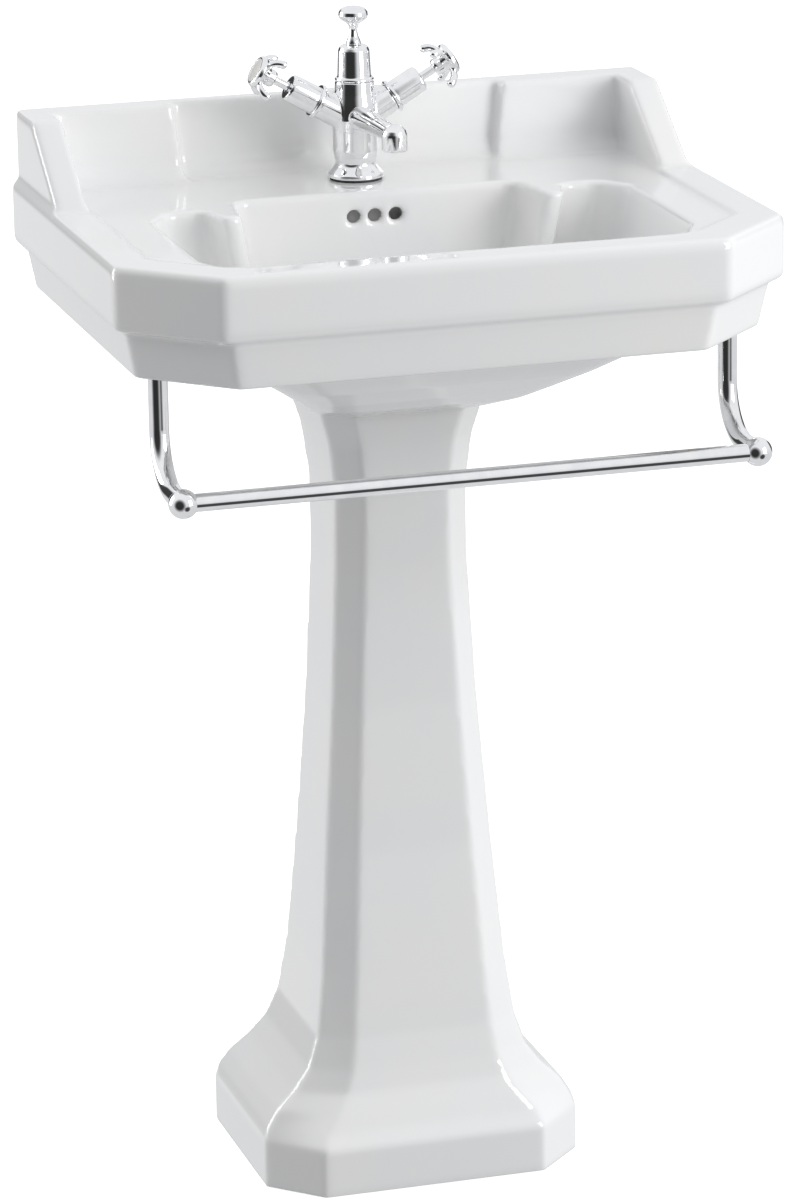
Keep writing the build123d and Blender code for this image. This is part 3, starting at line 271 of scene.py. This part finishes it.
branches = {"hot": along_branch(-1), "cold": along_branch(1)}
for name, place in branches.items():
    cover_ring = lathe_turned(
        name + "_cover_ring",
        [(10, 40), (15.8, 40), (16.6, 41.2), (16.6, 42.8), (15.8, 44), (10, 44), (10, 40)], place, 0.35)
    dress(cover_ring, chrome, "fixed", name + "_shroud_ring")
    sleeve = lathe_turned(
        name + "_sleeve",
        [(11.2, 44), (13.2, 44), (13.2, 68.2), (12.8, 70.8), (11.4, 72.5), (9.0, 73), (5.2, 73), (5.2, 71), (9.0, 71),
         (11.2, 68), (11.2, 44)],
        place, 0.3)
    dress(sleeve, chrome, "fixed", name + "_shroud")

# ---- Valve cartridges and spindles ------------------------------------------
# Screw-down brass cartridges inside the branches; a slim plated spindle runs out of each to its handle.


def rough_metal(name, colour, roughness):
    """Bare metal as it leaves the machine: fine turning marks and a patchy, dulled surface."""
    material, shader = principled(name, colour, roughness, 1.0)
    dull = tuple(c * 0.72 for c in colour[:3]) + (1,)
    blend_colours(material, shader, cloud(material, 45.0, 6.0), dull, colour)
    vary_gloss(material, shader, cloud(material, 160.0, 4.0), roughness * 0.75, roughness * 1.35)
    relief(material, shader, cloud(material, 420.0, 3.0), 0.08, 0.00006)
    return material


raw_brass = rough_metal("raw_brass", (0.74, 0.55, 0.27, 1), 0.3)
coat(raw_brass, "hot_cartridge", "cold_cartridge")
coat(chrome, "hot_spindle", "cold_spindle")

# ---- Handles ----------------------------------------------------------------
# Each handle is a cast hub with four claw arms that sweep back towards the tap and end in round tips.
# A screw under the index disc holds it on its spindle.
claw_centre = Vector((10.84 * mm, 0, 87.92 * mm))
claw_root = Vector((7 * mm, 0, 100 * mm))
claw_root_angle = radians(107.65)
claw_end_angle = radians(16.4)
claw_turns = 12
claw_turn = radians(91.3) / claw_turns
claw_bar = 2.7 * mm
claw_sides = 16
claw_growth = 1.035
tip_steps = ((0.9, 1.6), (0.72, 1.2), (0.6, 0.8))


def add_claw(skin, heading):
    """One claw: a round bar drawn along an arc, thicker towards its end, closed with a rounded tip."""
    start = Matrix.Translation(claw_root) @ Matrix.Rotation(claw_root_angle, 4, "Y").inverted()
    made = bmesh.ops.create_circle(skin, cap_ends=True, radius=claw_bar, segments=claw_sides,
                                   matrix=start @ Matrix.Rotation(pi, 4, "Z"))["verts"]
    all_verts = list(made)
    end = next(face for face in made[0].link_faces if len(face.verts) == claw_sides)
    sections = [(claw_turn, claw_growth, 0)] * claw_turns + [(0, scale, move) for scale, move in tip_steps]
    outward = Vector((sin(claw_end_angle), 0, -cos(claw_end_angle)))
    for turn, scale, move in sections:
        grown = bmesh.ops.extrude_discrete_faces(skin, faces=[end])["faces"]
        end = grown[0]
        if turn:
            bmesh.ops.rotate(skin, cent=claw_centre, matrix=Matrix.Rotation(turn, 3, "Y"), verts=end.verts)
        else:
            bmesh.ops.translate(skin, vec=outward * move * mm, verts=end.verts)
        middle = end.calc_center_median()
        bmesh.ops.scale(skin, vec=(scale, scale, scale), space=Matrix.Translation(-middle), verts=end.verts)
        all_verts += list(end.verts)
    bmesh.ops.rotate(skin, cent=(0, 0, 0), matrix=Matrix.Rotation(heading, 3, "Z"), verts=all_verts)


for name, place in branches.items():
    hub = lathe_turned(
        name + "_cross_handle",
        [(4.1, 88), (7, 88), (8.2, 90), (8.2, 95), (11.5, 100), (14.7, 102), (15.5, 104), (14.7, 106.6), (12.9, 108),
         (11.6, 108), (11.6, 105.5), (4.6, 105.5), (4.6, 99.4), (4.1, 99.4), (4.1, 88)],
        Matrix.Identity(4), 0.4)
    skin = bmesh.new()
    skin.from_mesh(hub.data)
    for quarter in range(4):
        add_claw(skin, pi / 4 + quarter * pi / 2)
    bmesh.ops.transform(skin, matrix=place, verts=skin.verts)
    bmesh.ops.recalc_face_normals(skin, faces=skin.faces)
    skin.to_mesh(hub.data)
    skin.free()
    hub.data.polygons.foreach_set("use_smooth", [True] * len(hub.data.polygons))
    dress(hub, chrome, name + "_valve", name + "_handle")

coat(raw_brass, "hot_handle_screw", "cold_handle_screw")

# ---- Index discs ------------------------------------------------------------
# A slightly domed porcelain disc pressed into the end of each handle, glazed a warm white.
porcelain = glazed("index_porcelain", (0.86, 0.85, 0.82, 1))
for name, place in branches.items():
    disc = lathe_turned(
        name + "_index_disc",
        [(0, 105.6), (11.5, 105.6), (11.5, 107.4), (10.6, 108.0), (6.0, 108.75), (0, 109)], place, 0.25)
    dress(disc, porcelain, name + "_valve", name + "_index")

# ---- Lift knob --------------------------------------------------------------
# A turned and plated knob with a bell foot, a thin neck and a mushroom cap. It is screwed on the
# lift rod and pulled up to close the waste.
knob = lathe_turned(
    "waste_lift_knob",
    [(0, 1036.3), (6.6, 1036.3), (6.8, 1037.6), (6.2, 1040.0), (4.5, 1043.6), (3.6, 1047.5), (3.6, 1050.5),
     (4.7, 1053.8), (7.0, 1056.4), (10.0, 1058.2), (12.6, 1060.2), (13.8, 1063.2), (13.4, 1066.4), (11.2, 1069.0),
     (7.0, 1070.6), (0, 1071.3)],
    tap_axis, 0.3)
dress(knob, chrome, "lift", "lift_knob")

# ---- Lift rod, strap and ball lever -----------------------------------------
# A plated rod runs down behind the bowl to a pierced strap with two clamp screws; the strap hooks the
# ball lever that raises and lowers the plug.
stainless = rough_metal("satin_steel", (0.62, 0.62, 0.63, 1), 0.28)
coat(chrome, "lift_rod")
coat(stainless, "link_strap", "strap_screws", "pivot_rod")

# ---- Waste ------------------------------------------------------------------
# A plated flange with a threaded tube drops through the bowl. A backnut pulls it down on a rubber
# seal, and the waste body below carries the ball lever behind a hexagon nut.
rubber = moulded("black_rubber", (0.028, 0.028, 0.028, 1), 0.62)
coat(chrome, "waste_flange", "plug", "waste_body", "ball_nut")
coat(rubber, "waste_flange_seal", "waste_washer", "plug_seal")
coat(raw_brass, "waste_nut")

# ---- Bottle trap ------------------------------------------------------------
# A plated brass trap with two union nuts, a cup that unscrews for cleaning and a pipe to the wall.
trap_plate = plated("trap_plate")
coat(trap_plate, "trap_inlet_nut", "trap_body", "trap_cup", "trap_outlet_nut", "outlet_pipe")
coat(rubber, "trap_cup_seal")

# ---- Tap fixing and water tails ---------------------------------------------
# A threaded stud, a horseshoe plate on a rubber pad and a long nut hold the tap to the deck. Two
# copper tails screwed into its foot and bent apart bring the water.
copper = rough_metal("drawn_copper", (0.80, 0.43, 0.28, 1), 0.26)
coat(raw_brass, "tap_stud", "stud_nut")
coat(stainless, "clamp_plate")
coat(rubber, "clamp_seal", "tap_seal")
coat(copper, "hot_tail", "cold_tail")

# ---- Towel rail -------------------------------------------------------------
# A plated tube between two turned balls, carried by two bent hangers that are screwed through
# the underside of the basin with a collar outside and a nut inside.
coat(chrome, "towel_rail", "left_rail_ball", "right_rail_ball", "left_hanger", "right_hanger", "hanger_collars")
coat(raw_brass, "hanger_nuts")

# ---- Cushion between basin and pedestal -------------------------------------
# A thin rubber strip that keeps china from grinding on china.
coat(rubber, "pedestal_cushion")

# ---- Studio -----------------------------------------------------------------
# A white floor and surround, a soft box at the left and at the right, a surround that is brighter overhead, and a dark
# side of the room where the viewer stands, which gives the glaze and the chrome something to mirror.
bpy.context.scene.view_settings.view_transform = "Standard"
floor_material, floor_shader = principled("floor_paint", (0.9, 0.9, 0.9, 1), 0.6)
floor_shader.inputs["Emission Color"].default_value = (1, 1, 1, 1)
floor_shader.inputs["Emission Strength"].default_value = 0.5
relief(floor_material, floor_shader, cloud(floor_material, 90.0), 0.05, 0.0005)
sheet = bmesh.new()
bmesh.ops.create_grid(sheet, x_segments=1, y_segments=1, size=40)
floor_mesh = bpy.data.meshes.new("floor")
sheet.to_mesh(floor_mesh)
sheet.free()
floor = bpy.data.objects.new("floor", floor_mesh)
floor.data.materials.append(floor_material)
floor.visible_diffuse = False
floor.visible_glossy = False
bpy.context.scene.collection.objects.link(floor)

world = bpy.data.worlds.new("studio")
bpy.context.scene.world = world
world.use_nodes = True
room = world.node_tree
surround = room.nodes["Background"]
surround.inputs["Color"].default_value = (0.97, 0.98, 1.0, 1)
looking = room.nodes.new("ShaderNodeTexCoord")


def toward(direction, near, far, inside, outside):
    """Brightness that changes over an angle from one direction of the room."""
    dot = room.nodes.new("ShaderNodeVectorMath")
    dot.operation = "DOT_PRODUCT"
    dot.inputs[1].default_value = Vector(direction).normalized()
    room.links.new(looking.outputs["Generated"], dot.inputs[0])
    fade = room.nodes.new("ShaderNodeMapRange")
    fade.interpolation_type = "SMOOTHSTEP"
    fade.inputs["From Min"].default_value = cos(radians(far))
    fade.inputs["From Max"].default_value = cos(radians(near))
    fade.inputs["To Min"].default_value = outside
    fade.inputs["To Max"].default_value = inside
    room.links.new(dot.outputs["Value"], fade.inputs["Value"])
    return fade.outputs["Result"]


def times(one, other):
    """Two brightnesses multiplied."""
    product = room.nodes.new("ShaderNodeMath")
    product.operation = "MULTIPLY"
    room.links.new(one, product.inputs[0])
    room.links.new(other, product.inputs[1])
    return product.outputs["Value"]


dark_side = toward((-0.66, -0.74, 0.0), 23, 55, 0.04, 1.0)
from_above = toward((0, 0, 1), 60, 115, 0.9, 0.72)
left_flag = toward((-0.39, 0.92, 0.1), 12, 20, 0.06, 1.0)
right_flag = toward((0.83, 0.55, 0.1), 12, 20, 0.06, 1.0)
low_flag = toward((0.29, -0.83, -0.48), 12, 24, 0.08, 1.0)
flags = times(times(left_flag, right_flag), low_flag)
room.links.new(times(times(dark_side, from_above), flags), surround.inputs["Strength"])


def soft_light(name, place, target, width, height, power):
    light = bpy.data.lights.new(name, "AREA")
    light.shape = "RECTANGLE"
    light.size = width
    light.size_y = height
    light.energy = power
    lamp = bpy.data.objects.new(name, light)
    bpy.context.scene.collection.objects.link(lamp)
    lamp.location = place
    lamp.rotation_euler = (Vector(target) - Vector(place)).to_track_quat("-Z", "Y").to_euler()
    return lamp


soft_light("left_box", (-2.6, 1.7, 1.3), (0, 0, 0.6), 1.6, 2.2, 39)
soft_light("right_box", (2.2, -2.6, 1.5), (0, 0, 0.6), 1.4, 2.2, 58)

# ---- Camera -----------------------------------------------------------------
yaw = 0.285
pitch = 0.279
roll = -0.0165
camera = bpy.data.objects.new("camera", bpy.data.cameras.new("camera"))
camera.data.sensor_width = 36
camera.data.lens = 162.65
camera.data.clip_end = 200
camera.location = (-1.3432, -4.5554, 1.9099)
turned_view = Euler((pi / 2 - pitch, 0, -yaw)).to_matrix() @ Matrix.Rotation(roll, 3, "Z")
camera.rotation_euler = turned_view.to_euler()
bpy.context.scene.collection.objects.link(camera)
bpy.context.scene.camera = camera
